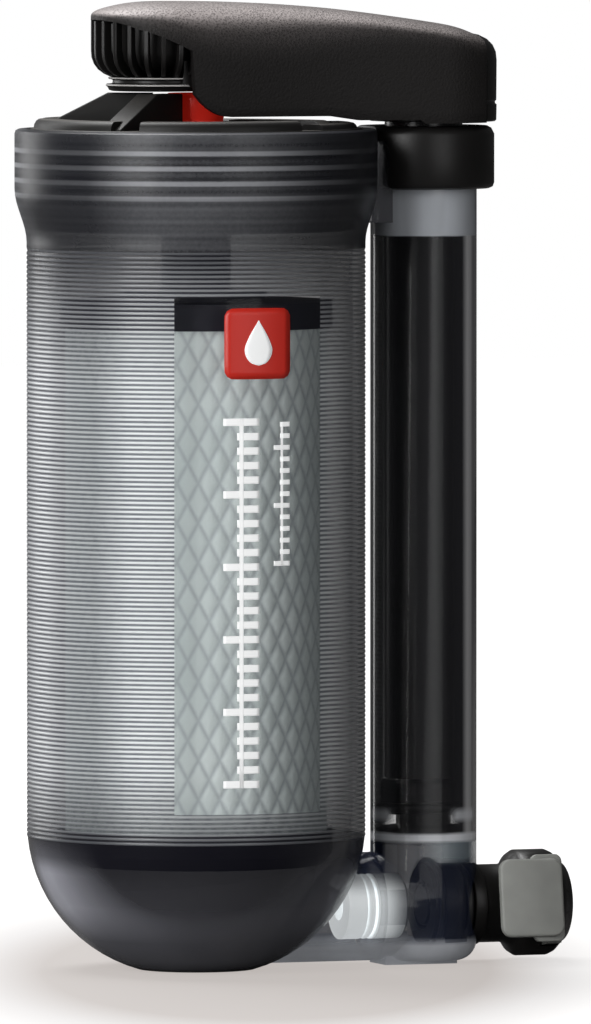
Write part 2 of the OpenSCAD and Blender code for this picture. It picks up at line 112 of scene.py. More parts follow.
class Shader:
    # a material and its nodes
    def __init__(self, name):
        self.material = bpy.data.materials.new(name)
        self.material.use_nodes = True
        self.tree = self.material.node_tree
        self.tree.nodes.clear()
        self.end = self.tree.nodes.new("ShaderNodeOutputMaterial")

    def add(self, kind, settings=None, inputs=None):
        node = self.tree.nodes.new("ShaderNode" + kind)
        for key, value in (settings or {}).items():
            if key == "stops":
                ramp = node.color_ramp
                while len(ramp.elements) < len(value):
                    ramp.elements.new(0.5)
                for element, (place, colour) in zip(ramp.elements, value):
                    element.position = place
                    element.color = (*colour, 1)
            else:
                setattr(node, key, value)
        for key, value in (inputs or {}).items():
            if isinstance(value, Wire):
                self.tree.links.new(value.node.outputs[value.output], node.inputs[key])
            elif hasattr(value, "__len__") and len(value) == 3 and node.inputs[key].type == "RGBA":
                node.inputs[key].default_value = (*value, 1)
            else:
                node.inputs[key].default_value = value
        return Wire(self, node)

    def maths(self, operation, *values):
        return self.add("Math", {"operation": operation}, dict(enumerate(values)))

    def up(self):
        # how far the surface faces upwards
        return self.add("SeparateXYZ", None, {0: self.add("NewGeometry").pick("Normal")}).pick(2)

    def around(self, x, y, front):
        # turn round the upright axis from a direction: 0.5 there, 0 and 1 at its back
        c, s = math.cos(math.radians(front)), math.sin(math.radians(front))
        return self.maths("ARCTAN2", y * c - x * s, x * c + y * s) * (0.5 / math.pi) + 0.5

    def ramp(self, share, stops):
        return self.add("ValToRGB", {"stops": [(at, (v, v, v)) for at, v in stops]}, {0: share})

    def facing(self):
        return self.add("LayerWeight", None, {0: 0.5}).pick("Facing")

    def place(self):
        return self.add("TexCoord").pick("Object")

    def xyz(self):
        split = self.add("SeparateXYZ", None, {0: self.place()})
        return split.pick(0), split.pick(1), split.pick(2)

    def noise(self, scale, detail=3.0, roughness=0.5, place=None):
        return self.add("TexNoise", None, {"Vector": place or self.place(), "Scale": scale,
                                           "Detail": detail, "Roughness": roughness})

    def blend(self, share, a, b):
        return self.add("Mix", {"data_type": "RGBA"}, {0: share, 6: a, 7: b}).pick(2)

    def bump(self, height, depth, strength=1.0):
        # depth is in metres, for a height of one
        return self.add("Bump", None, {"Height": height, "Distance": depth, "Strength": strength})

    def finish(self, inputs):
        made = self.add("BsdfPrincipled", None, inputs)
        self.tree.links.new(made.node.outputs[0], self.end.inputs[0])
        return self.material

    def clear(self, inputs):
        # a see-through finish
        self.material.surface_render_method = "BLENDED"
        return self.finish({"IOR": 1.5, **inputs})


def placed(name, data):
    made = bpy.data.objects.new(name, data)
    bpy.context.scene.collection.objects.link(made)
    return made


def put(bm, name, body, materials, smoothBelow=35, outward=True):
    # turns a bmesh, drawn in millimetres, into a finished piece that rides on a body
    bmesh.ops.scale(bm, vec=(mm, mm, mm), verts=bm.verts[:])
    if outward:
        bmesh.ops.recalc_face_normals(bm, faces=bm.faces[:])
    mesh = bpy.data.meshes.new(name)
    bm.to_mesh(mesh)
    bm.free()
    for face in mesh.polygons:
        face.use_smooth = True
    mesh.set_sharp_from_angle(angle=math.radians(smoothBelow))
    piece = placed(name, mesh)
    for material in materials:
        mesh.materials.append(material)
    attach(piece, body)
    return piece


def spun(bm, profile, steps=96, middle=(0, 0), start=-117.0):
    # a row of (radius, height) points swept right round an upright axis
    turn = Matrix.Rotation(math.radians(start), 4, "Z")
    shift = Vector((middle[0], middle[1], 0))
    row = [bm.verts.new(turn @ Vector((max(r, 0.0), 0, z)) + shift) for r, z in profile]
    edges = [bm.edges.new(pair) for pair in zip(row, row[1:])]
    bmesh.ops.spin(bm, geom=row + edges, cent=shift, axis=(0, 0, 1), angle=2 * math.pi, steps=steps,
                   dvec=(0, 0, 0), use_merge=True, use_duplicate=False)
    bmesh.ops.remove_doubles(bm, verts=bm.verts[:], dist=0.0005)


def pushed(bm, faces, shift):
    # pushes a flat shape out into a solid and returns the far side's points
    made = bmesh.ops.extrude_face_region(bm, geom=faces)
    fresh = [g for g in made["geom"] if isinstance(g, bmesh.types.BMVert)]
    bmesh.ops.translate(bm, vec=shift, verts=fresh)
    return fresh


def poured(bm, part):
    # adds one bmesh to another
    mesh = bpy.data.meshes.new("part")
    part.to_mesh(mesh)
    part.free()
    bm.from_mesh(mesh)
    bpy.data.meshes.remove(mesh)


def softened(node, name, body, finish, width=0.25, sharper=38):
    # a CAD piece with its loose triangles joined and its sharp edges rounded
    bm = bmesh.new()
    bm.from_mesh(nodes[node].data)
    bmesh.ops.remove_doubles(bm, verts=bm.verts[:], dist=0.000002)
    bmesh.ops.dissolve_limit(bm, angle_limit=math.radians(0.6), verts=bm.verts[:], edges=bm.edges[:])
    bmesh.ops.scale(bm, vec=(1000, 1000, 1000), verts=bm.verts[:])
    sharp = [e for e in bm.edges if len(e.link_faces) == 2 and e.calc_face_angle(0) > math.radians(sharper)]
    bmesh.ops.bevel(bm, geom=sharp, offset=width, offset_type="OFFSET", segments=2, profile=0.5,
                    affect="EDGES", clamp_overlap=True, material=-1)
    bmesh.ops.remove_doubles(bm, verts=bm.verts[:], dist=0.001)
    made = put(bm, name, body, [finishes[finish]], 30, outward=False)
    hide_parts(node)
    return made


def rounded(piece, width):
    # rounds the sharp edges of a finished piece
    edges = piece.modifiers.new("edges", "BEVEL")
    edges.width, edges.segments = width * mm, 2
    edges.limit_method, edges.angle_limit = "ANGLE", math.radians(50)


def angleOf(place):
    return math.degrees(math.atan2(place.y, place.x))


def paint(name, material):
    node = nodes[name]
    node.data.materials.clear()
    node.data.materials.append(material)


# camera and light

cameraPlan = {
    "aim": (0.0159, -0.0058, 0.0779),
    "azimuth": -20.0,
    "distance": 3.0,
    "height": 0.220,
    "lens": 620.0,
}


def makeCamera(plan):
    turn = math.radians(plan["azimuth"])
    aim = Vector(plan["aim"])
    place = aim + Vector((math.sin(turn), -math.cos(turn), 0)) * plan["distance"]
    place.z = plan["height"]
    data = bpy.data.cameras.new("camera")
    data.sensor_width = 36.0
    data.lens = plan["lens"]
    data.clip_start, data.clip_end = 0.05, 20.0
    camera = placed("camera", data)
    camera.location = place
    camera.rotation_euler = (aim - place).to_track_quat("-Z", "Y").to_euler()
    bpy.context.scene.camera = camera


makeCamera(cameraPlan)

lightPlan = {
    # name: place, aim, size (x, y), power
    "keyLeft": ((-0.82, -0.52, 0.30), (0, 0, 0.09), (0.42, 1.0), 10.0),
    "edgeLeft": ((-0.45, 0.75, 0.25), (0, 0, 0.09), (0.4, 0.9), 3.6),
    "frontSoft": ((0.25, -1.1, 0.35), (0.02, 0, 0.08), (0.5, 0.9), 2.5),
    "topBack": ((-0.15, 0.35, 0.85), (0, 0, 0.15), (0.6, 0.4), 9.0),
}


def makeLights(plan):
    for name, (place, aim, size, power) in plan.items():
        data = bpy.data.lights.new(name, "AREA")
        data.shape = "RECTANGLE"
        data.size, data.size_y = size
        data.energy = power
        lamp = placed(name, data)
        lamp.location = place
        lamp.rotation_euler = (Vector(aim) - Vector(place)).to_track_quat("-Z", "Y").to_euler()


makeLights(lightPlan)

worldPlan = {"seen": 1.0, "cast": 0.07}


def makeWorld(plan):
    world = bpy.data.worlds.new("studio")
    bpy.context.scene.world = world
    world.use_nodes = True
    tree = world.node_tree
    tree.nodes.clear()
    end = tree.nodes.new("ShaderNodeOutputWorld")
    path = tree.nodes.new("ShaderNodeLightPath")
    mix = tree.nodes.new("ShaderNodeMixShader")
    tree.links.new(path.outputs["Is Camera Ray"], mix.inputs[0])
    for slot, key in ((1, "cast"), (2, "seen")):
        white = tree.nodes.new("ShaderNodeBackground")
        white.inputs[0].default_value = (1, 1, 1, 1)
        white.inputs[1].default_value = plan[key]
        tree.links.new(white.outputs[0], mix.inputs[slot])
    tree.links.new(mix.outputs[0], end.inputs[0])


makeWorld(worldPlan)
bpy.context.scene.view_settings.view_transform = "Standard"

floorPlan = {
    "middle": (0.012, 0.0),     # of the soft shade under the object
    "reach": (0.050, 0.150),    # of the shade across the view and along it
    "tones": [(0.0, (0.50, 0.465, 0.445)), (0.38, (0.50, 0.465, 0.445)), (0.5, (0.72, 0.705, 0.7)),
              (0.62, (0.9, 0.89, 0.885)), (0.8, (1, 1, 1))],
    "size": 2500,
    "drop": 0.05,               # below the object's feet
}


def makeFloor(plan):
    shader = Shader("floorPaint")
    x, y = shader.xyz()[:2]
    turn = math.radians(cameraPlan["azimuth"])
    c, s = math.cos(turn), math.sin(turn)
    across = (x * c + y * s - plan["middle"][0]) / plan["reach"][0]
    along = (y * c - x * s - plan["middle"][1]) / plan["reach"][1]
    away = (across * across + along * along) ** 0.5
    tone = shader.add("ValToRGB", {"stops": plan["tones"]}, {0: away * 0.5})
    seen = shader.add("LightPath").pick("Is Camera Ray")
    material = shader.finish({"Base Color": (0.14, 0.137, 0.136), "Roughness": 0.8,
                              "Specular IOR Level": 0.0, "Emission Strength": 1.0,
                              "Emission Color": shader.blend(seen, (0, 0, 0), tone)})
    bm = bmesh.new()
    bmesh.ops.create_grid(bm, x_segments=4, y_segments=4, size=plan["size"])
    bmesh.ops.translate(bm, vec=(0, 0, -plan["drop"]), verts=bm.verts[:])
    bmesh.ops.scale(bm, vec=(mm, mm, mm), verts=bm.verts[:])
    mesh = bpy.data.meshes.new("floor")
    bm.to_mesh(mesh)
    bm.free()
    mesh.materials.append(material)
    placed("floor", mesh)


makeFloor(floorPlan)
print("camera, light and floor made")


# finishes

def plainPlastic(name, colour, roughness, grain=0.35, depth=0.00002, shine=0.5):
    # moulded plastic: faint mottling and a fine spark-eroded grain
    shader = Shader(name)
    cloud = shader.noise(90.0, 3.0)
    fine = shader.noise(2600.0, 2.0)
    tone = shader.blend(cloud.over(0.5, 0.5), [c * 0.8 for c in colour], [c * 1.2 for c in colour])
    rough = roughness + (fine - 0.5) * grain * 0.4
    return shader.finish({"Base Color": tone, "Roughness": rough, "Specular IOR Level": shine,
                          "Normal": shader.bump(fine, depth, grain)})


def litTopPlastic(name, side, top):
    # black plastic with a painted highlight on its level faces, the tall arms less than the rest, and a
    # painted sheen where it turns away
    shader = Shader(name)
    up = shader.up()
    cloud = shader.noise(120.0, 3.0)
    fine = shader.noise(2400.0, 2.0)
    high = shader.xyz()[2].over(0.1456, 0.0008)
    sheen = 0.3 + shader.facing().over(0.8, 0.3) * 0.7
    # painted highlight: mottled, on upward faces, weaker on the tall arms, stronger where the surface turns
    # away
    paintedTopHighlight = up.over(0.93, 0.22) * (0.6 + cloud * 0.8) * (1 - high * 0.5) * sheen
    tone = shader.blend(paintedTopHighlight.clamped(), side, top)
    return shader.finish({"Base Color": tone, "Roughness": 0.42 + fine * 0.14, "Specular IOR Level": 0.35,
                          "Normal": shader.bump(fine, 0.00002, 0.35)})


def clearPlastic(name, body, alpha, edge, roughness=0.05, power=2.5):
    # see-through plastic: thin where it faces the eye, denser where it turns away
    shader = Shader(name)
    facing = shader.facing()
    cover = alpha + (edge - alpha) * (facing ** power)
    cloud = shader.noise(60.0, 2.0)
    rough = roughness + (cloud - 0.5) * 0.04
    return shader.clear({"Base Color": body, "Roughness": rough, "Alpha": cover})


def gripRubber(name):
    # soft overmould: pebbled grain; its top is paler from a painted highlight and a painted sheen, and a
    # little smoother
    shader = Shader(name)
    place = shader.place()
    cells = shader.add("TexVoronoi", None, {"Vector": place, "Scale": 2300.0})
    fine = shader.noise(5200.0, 2.0)
    cloud = shader.noise(70.0, 3.0)
    up = shader.up()
    pebble = cells.over(0.32, 0.5)
    along = shader.add("SeparateXYZ", None, {0: place}).pick(0)
    shoulder = up.over(0.12, 0.3) * 0.3 + up.over(0.6, 0.6) * 0.7
    sheen = shader.ramp(shader.facing(), [(0.12, 0.3), (0.36, 1.0), (0.6, 0.8), (0.9, 0.5)])
    # painted highlight on the upward faces, fading towards the pump end, with a painted sheen where the top
    # turns away
    paintedTopHighlight = (shoulder * (0.5 + cloud * 0.5) * (0.4 + pebble * 0.8)
            * (1 - along.over(0.022, 0.03) * 0.42) * sheen).clamped()
    share = (paintedTopHighlight + along.over(0.034, 0.02) * 0.006).clamped()
    tone = shader.blend(share, (0.0068, 0.0058, 0.0056), (0.52, 0.465, 0.455))
    height = cells * -1.0 + fine * 0.5
    rough = 0.62 - paintedTopHighlight * 0.16 + (fine - 0.5) * 0.12
    return shader.finish({"Base Color": tone, "Roughness": rough, "Specular IOR Level": 0.3,
                          "Normal": shader.bump(height, 0.00012, 0.5)})


# painted light and shade on the ribbed wall as it goes round from its back, by the front, to its back
ribLightBands = [(0.0, 0.4), (0.25, 0.12), (0.275, 0.55), (0.33, 0.72), (0.37, 0.5), (0.40, 0.48),
        (0.435, 0.9), (0.475, 1.0), (0.6, 0.6), (0.65, 0.5), (0.69, 0.16), (0.72, 0.03), (0.76, 0.1),
        (1.0, 0.4)]


def ribbedSmoke(name, plan):
    # smoke plastic with moulded ribs: each ridge is hazy with a painted highlight, each groove clear and
    # dark
    shader = Shader(name)
    x, y, z = shader.xyz()
    pitch = plan["pitch"] * mm
    wave = ((z - (plan["low"] * mm + pitch * 0.48)) * (2 * math.pi / pitch) + math.pi / 2).sine()
    ridge = wave.over(0.0, 1.1)
    cloud = shader.noise(45.0, 2.0)
    fades = z.over(0.0285, 0.013) * (1 - z.over(0.1115, 0.02))
    # painted light and shade in bands round the wall, fading out towards its top and bottom
    paintedRibLight = shader.ramp(shader.around(x, y, plan["front"]), ribLightBands)
    paintedRibLight = paintedRibLight * (0.12 + fades * 0.88) * (0.88 + cloud * 0.24)
    pale = shader.blend(paintedRibLight, (0.016, 0.018, 0.028), (0.95, 0.98, 1.0))
    deep = shader.blend(paintedRibLight, (0.005, 0.005, 0.009), (0.15, 0.155, 0.19))
    return shader.clear({"Base Color": shader.blend(ridge, deep, pale), "Roughness": 0.36 - ridge * 0.1,
                         "Alpha": 0.74 + ridge * 0.14, "Specular IOR Level": 0.35})


def windowSmoke(name, front):
    # the smooth panel at the front, clearest at its left; its dark cover thickens towards its right as
    # painted shade
    shader = Shader(name)
    x, y = shader.xyz()[:2]
    thick = shader.ramp(shader.around(x, y, front), [(0.4, 0.0), (0.5, 0.1), (0.57, 0.5), (0.63, 1.0)])
    cloud = shader.noise(60.0, 2.0)
    return shader.clear({"Base Color": (0.022, 0.023, 0.03), "Roughness": 0.05 + cloud * 0.05,
                         "Alpha": 0.08 + thick * 0.36 + shader.facing() ** 3.0 * 0.4})


def domeSmoke(name):
    # a thick clear bottom: dark in the middle, with a painted glow where its wall turns away, strongest on
    # the left, and painted light low down near its foot
    shader = Shader(name)
    facing = shader.facing()
    glow = facing.over(0.42, 0.4) * (1 - facing.over(0.82, 0.2))
    cloud = shader.noise(50.0, 3.0)
    x, _, z = shader.xyz()
    foot = 1 - z.over(0.007, 0.01)
    left = 1 - (x + 0.01).over(0.0, 0.03)
    level = z.over(0.0085, 0.006) * (1 - z.over(0.0205, 0.005))
    side = 1 - facing.over(0.9, 0.1)
    glow = glow * (0.26 + left * 0.74) * (0.1 + level * 0.9) * (1 - z.over(0.0185, 0.003) * 0.6)
    share = (glow + foot * side * 0.2 + (1 - z.over(0.014, 0.008)) * 0.1
             + x.over(0.012, 0.02) * 0.05)
    tone = shader.blend(share * (0.7 + cloud * 0.6), (0.006, 0.006, 0.011), (0.42, 0.425, 0.48))
    return shader.clear({"Base Color": tone, "Roughness": 0.16 + cloud * 0.08,
                         "Alpha": 0.88 + facing * 0.1, "Specular IOR Level": 0.3})


def rimSmoke(name, front):
    # the threaded rim: thick and dark, with level streaks where the thread catches the light
    shader = Shader(name)
    x, y, z = shader.xyz()
    facing = shader.facing()
    turn = shader.around(x, y, front)
    lit = shader.ramp(turn, [(0.0, 0.2), (0.22, 0.1), (0.262, 0.9), (0.29, 0.5), (0.32, 0.1),
                             (0.4, 0.22), (0.46, 1.0), (0.54, 0.95), (0.62, 0.3), (0.68, 0.06),
                             (1.0, 0.2)])
    wave = (z * (2 * math.pi / 0.00255) - 3.4).sine()
    fine = (z * 5600.0).sine() * 0.5 + (z * 3100.0).sine() * 0.5
    streak = shader.ramp(z * 20.0 - 2.4, [(0.0, 0.1), (0.12, 0.5), (0.2, 0.75), (0.3, 0.2),
                                          (0.38, 0.12), (0.44, 0.5), (0.52, 0.9), (0.6, 0.35),
                                          (0.66, 0.95), (0.73, 0.4), (0.8, 1.0)])
    cloud = shader.noise(70.0, 3.0)
    grain = shader.noise(1800.0, 2.0)
    glint = wave.over(0.55, 0.5) * z.over(0.1315, 0.002) * (1 - z.over(0.1405, 0.001))
    band = lit * (0.05 + streak * 0.26 + glint * 0.62 + fine * 0.05) * (0.6 + cloud * 0.8)
    band = (band + (grain - 0.5) * lit * 0.12).clamped()
    tone = shader.blend(band, (0.006, 0.0065, 0.01), (0.46, 0.47, 0.5))
    return shader.clear({"Base Color": tone, "Roughness": 0.3 + cloud * 0.1,
                         "Alpha": 0.82 + facing * 0.16, "Specular IOR Level": 0.25})


def channelSmoke(name):
    # the inlet channel across the foot: smoky, milky round the white valve, dark round the inlet
    shader = Shader(name)
    x, y, z = shader.xyz()
    facing = shader.facing()
    cloud = shader.noise(110.0, 3.0)
    low = 1 - z.over(0.0042, 0.0015)
    back = y.over(0.0005, 0.003)
    milky = (1 - x.over(0.0345, 0.004)) * (1 - z.over(0.0142, 0.002)) * (1 - back)
    tone = shader.blend(cloud, (0.016, 0.02, 0.042), (0.06, 0.075, 0.13))
    tone = shader.blend(milky, tone, shader.blend(cloud, (0.3, 0.32, 0.36), (0.7, 0.74, 0.77)))
    tone = shader.blend(low, tone, shader.blend(cloud, (0.2, 0.205, 0.22), (0.42, 0.43, 0.46)))
    cover = 0.42 - milky * 0.3 + facing * 0.25 + low * 0.5 + back * 0.45
    # a painted glow pooled in the lower band of the foot
    shine = low * (0.5 + cloud * 0.6) * (1 - x.over(0.046, 0.006) * 0.6)
    pooled = shader.blend(shine.clamped(), (0, 0, 0), (0.5, 0.52, 0.56))
    return shader.clear({"Base Color": tone, "Roughness": 0.08 + cloud * 0.05, "Alpha": cover.clamped(),
                         "Emission Color": pooled, "Emission Strength": 0.22})


def tubeSmoke(name, plan):
    # clear tube: dark where it curves away over the rod, with painted streaks of highlight, a painted
    # reflection at its last edge and down its right side, and pale at its bush
    shader = Shader(name)
    x, y, z = shader.xyz()
    facing = shader.facing()
    bend = facing.over(0.2, 0.26)
    edge = facing.over(0.74, 0.26)
    above = z.over(plan["chamber"] * mm, 0.0012)
    band = z.over(plan["band"][0] * mm, 0.0003) * (1 - z.over(plan["band"][1] * mm, 0.0003))
    cloud = shader.noise(40.0, 3.0)
    turn = shader.around(x - pumpX * mm, y, plan["front"])
    # painted highlights in streaks down the tube, by direction
    streak = shader.ramp(turn, [(0.0, 0.3), (0.3, 0.1), (0.39, 0.75), (0.42, 0.3), (0.47, 0.35),
                                (0.53, 1.0), (0.58, 0.2), (0.7, 0.15), (1.0, 0.3)])
    dark = shader.blend(streak, (0.012, 0.012, 0.015), (0.075, 0.075, 0.08))
    upper = shader.blend(edge, dark, (0.06, 0.062, 0.068))
    # glints where the wall meets the chamber's floor
    sill = z.over(0.0212, 0.0006) * (1 - z.over(0.0226, 0.0006))
    corner = z.over(0.0248, 0.001) * (1 - z.over(0.0266, 0.0012)) * facing.over(0.17, 0.12)
    corner = corner * (1 - edge) * 0.6
    # the foot is smoky blue, with a painted glow above the inlet
    glow = shader.ramp(turn, [(0.5, 0.0), (0.56, 1.0), (0.7, 0.6)]) * z.over(0.0178, 0.0012)
    smoky = shader.blend(cloud, (0.011, 0.015, 0.034), (0.042, 0.053, 0.1))
    lower = shader.blend(glow, smoky, (0.42, 0.5, 0.55))
    # a painted highlight down the tube's right side
    right = shader.ramp(turn, [(0.63, 0.0), (0.652, 1.0), (0.67, 0.9), (0.686, 0.3), (0.8, 0.1)])
    upper = shader.blend(right, upper, (0.45, 0.45, 0.46))
    back = y.over(0.0005, 0.003) * (1 - above)
    tone = shader.blend(above, lower, upper)
    # painted light on the pale bush band, strongest at the front
    lit = shader.ramp(turn, [(0.3, 0.4), (0.42, 0.8), (0.5, 1.0), (0.6, 0.75), (0.72, 0.3)])
    frost = shader.blend(lit, (0.06, 0.062, 0.07), (0.74, 0.78, 0.84))
    tone = shader.blend(band, tone, frost)
    tone = shader.blend((sill + corner).clamped(), tone, (0.78, 0.8, 0.84))
    cover = (above * (0.3 + bend * 0.62 + right * 0.5) + (1 - above) * (0.4 + facing * 0.3)
             + back * 0.5)
    return shader.clear({"Base Color": tone, "Roughness": 0.12 + cloud * 0.05,
                         "Alpha": (cover + (band + sill + corner) * 0.6).clamped(),
                         "Specular IOR Level": 0.4})


def meshSleeve(name, cellWide, cellHigh, radius, front):
    # white sleeve: diamond mesh whose cells bulge, with painted shade along its strands
    shader = Shader(name)
    x, y, z = shader.xyz()
    turned = shader.maths("ARCTAN2", y, x) * (radius / cellWide)
    tall = z * (1 / (cellHigh * mm))
    a = ((turned + tall) * math.pi).sine().size()
    b = ((turned - tall) * math.pi).sine().size()
    cell = shader.maths("MINIMUM", a, b)
    fibre = shader.noise(900.0, 3.0)
    cloud = shader.noise(55.0, 2.0)
    white = shader.blend(cloud, (0.52, 0.59, 0.585), (0.74, 0.8, 0.79))
    # the strands' grey is painted shade between the bulging cells
    share = (cell.over(0.2, 0.7) + (fibre - 0.5) * 0.2).clamped()
    tone = shader.blend(share, (0.4, 0.44, 0.46), white)
    # the bowl lets in more light than its clear walls pass straight through
    light = shader.ramp(shader.around(x, y, front), [(0.3, 0.9), (0.45, 1.0), (0.52, 0.7),
                                                     (0.58, 0.5), (0.7, 0.3)])
    return shader.finish({"Base Color": tone, "Roughness": 0.75,
                          "Normal": shader.bump(fibre, 0.0002, 0.3), "Emission Strength": 0.5,
                          "Emission Color": shader.blend(light, (0, 0, 0), tone)})


def pleatedPaper(name):
    shader = Shader(name)
    fibre = shader.noise(1500.0, 4.0)
    tone = shader.blend(fibre, (0.6, 0.6, 0.56), (0.82, 0.82, 0.78))
    return shader.finish({"Base Color": tone, "Roughness": 0.85,
                          "Normal": shader.bump(fibre, 0.0001, 0.4)})


def printedInk(name, colour, paintedGlow=0.0):
    # screen-printed ink: nearly flat, with a faint weave of the screen, and a painted glow as strong as
    # given
    shader = Shader(name)
    fine = shader.noise(3200.0, 1.0)
    cloud = shader.noise(120.0, 2.0)
    tone = shader.blend(cloud, [c * 0.9 for c in colour], colour)
    return shader.finish({"Base Color": tone, "Roughness": 0.32 + fine * 0.12,
                          "Normal": shader.bump(fine, 0.00001, 0.3), "Emission Color": tone,
                          "Emission Strength": paintedGlow})


def valveWhite(name):
    # the valve cage: white, brightest where the clear foot pools light on it
    shader = Shader(name)
    x, _, z = shader.xyz()
    fine = shader.noise(1500.0, 2.0)
    cloud = shader.noise(140.0, 2.0)
    tone = shader.blend(cloud, (0.66, 0.69, 0.7), (0.8, 0.83, 0.84))
    pool = (1 - x.over(0.0345, 0.004) * 0.95) * (1 - z.over(0.0135, 0.003) * 0.6)
    return shader.finish({"Base Color": tone, "Roughness": 0.35 + fine * 0.1,
                          "Normal": shader.bump(fine, 0.00002, 0.3), "Emission Strength": 0.7,
                          "Emission Color": shader.blend(pool, (0, 0, 0), tone)})


def drawnSteel(name):
    shader = Shader(name)
    fine = shader.noise(4000.0, 2.0)
    tone = shader.blend(fine, (0.42, 0.42, 0.43), (0.62, 0.62, 0.63))
    return shader.finish({"Base Color": tone, "Metallic": 1.0, "Roughness": 0.25 + fine * 0.15})


ribs = {"pitch": 0.78, "low": 22.6, "high": 122.5, "depth": 0.16, "front": -110.0}
sleeve = {"cellWide": 3.63, "cellHigh": 6.7, "radius": 22.0, "low": 22.7, "high": 110.8}
tube = {"band": (124.7, 132.7), "chamber": 21.4, "front": ribs["front"], "bulge": 0.3}

finishes = {
    "grip": gripRubber("gripRubber"),
    "black": plainPlastic("blackPlastic", (0.0075, 0.0068, 0.0066), 0.4, shine=0.35),
    "cap": litTopPlastic("capPlastic", (0.006, 0.0055, 0.005), (0.095, 0.088, 0.08)),
    # a pale finish for the ledges' rims: a painted glint
    "edge": plainPlastic("paintedLedgeGlint", (0.42, 0.41, 0.4), 0.35, 0.2),
    "rod": plainPlastic("rodPlastic", (0.02, 0.02, 0.021), 0.25, 0.15),
    "white": valveWhite("whitePlastic"),
    "gloss": plainPlastic("polishedBlack", (0.005, 0.005, 0.006), 0.2, 0.15),
    # the red collar takes a painted glow, lifting it out of the handle's shade
    "red": printedInk("redPlastic", (0.8, 0.024, 0.012), 0.14),
    "grey": plainPlastic("greyPlastic", (0.31, 0.315, 0.295), 0.45),
    "pale": plainPlastic("palePlastic", (0.42, 0.44, 0.47), 0.4),
    "dark": plainPlastic("cartridgePlastic", (0.018, 0.018, 0.028), 0.4),
    "seal": plainPlastic("sealRubber", (0.006, 0.006, 0.007), 0.5),
    "ribbed": ribbedSmoke("ribbedSmoke", ribs),
    "window": windowSmoke("windowSmoke", ribs["front"]),
    "dome": domeSmoke("domeSmoke"),
    "rim": rimSmoke("rimSmoke", ribs["front"]),
    "channel": channelSmoke("channelSmoke"),
    "inner": clearPlastic("innerSmoke", (0.05, 0.052, 0.065), 0.05, 0.35, 0.05),
    "tube": tubeSmoke("tubeSmoke", tube),
    "bracket": clearPlastic("bracketSmoke", (0.14, 0.143, 0.16), 0.72, 0.97, 0.1),
    "thread": clearPlastic("threadSmoke", (0.5, 0.52, 0.54), 0.55, 0.95, 0.08),
    "netting": meshSleeve("meshSleeve", sleeve["cellWide"], sleeve["cellHigh"], sleeve["radius"],
                          ribs["front"]),
    "paper": pleatedPaper("pleatedPaper"),
    "redInk": printedInk("redInk", (0.68, 0.024, 0.012)),
    # the white ink takes a painted glow
    "whiteInk": printedInk("whiteInk", (0.94, 0.95, 0.95), 0.3),
    "steel": drawnSteel("drawnSteel"),
}
print("finishes made")

# what each CAD node is finished in
nodeFinishes = {
    "pump_cylinder": "tube", "cylinder_bracket": "bracket", "transfer_seal": "white", "filter_cap": "black",
    "cap_seal": "seal", "outlet_socket": "black", "outlet_seal": "seal", "outlet_collar": "red",
    "cartridge_top_cap": "dark", "cartridge_media": "paper", "cartridge_core": "pale",
    "cartridge_bottom_cap": "dark", "cartridge_netting": "pale", "cartridge_seal": "seal",
    "rod_bush": "pale", "rod_wiper": "seal", "pump_collar": "black", "inlet_valve_seat": "black",
    "inlet_valve_seal": "seal", "inlet_valve_poppet": "black", "outlet_valve_cage": "white",
    "outlet_valve_poppet": "pale", "outlet_valve_retainer": "black", "coupling_body": "black",
    "coupling_seal": "seal", "coupling_lip_seal": "seal", "latch_plate": "grey", "piston_head": "gloss",
    "piston_seal": "seal", "pump_rod": "rod", "rod_end_plug": "black", "handle_core": "black",
    "handle_cover": "grip", "piston_clip": "steel", "handle_pin": "steel", "outlet_spring": "steel",
    "inlet_valve_spring": "steel", "outlet_valve_spring": "steel", "latch_spring": "steel",
}
for name, finish in nodeFinishes.items():
    paint(name, finishes[finish])


# handle

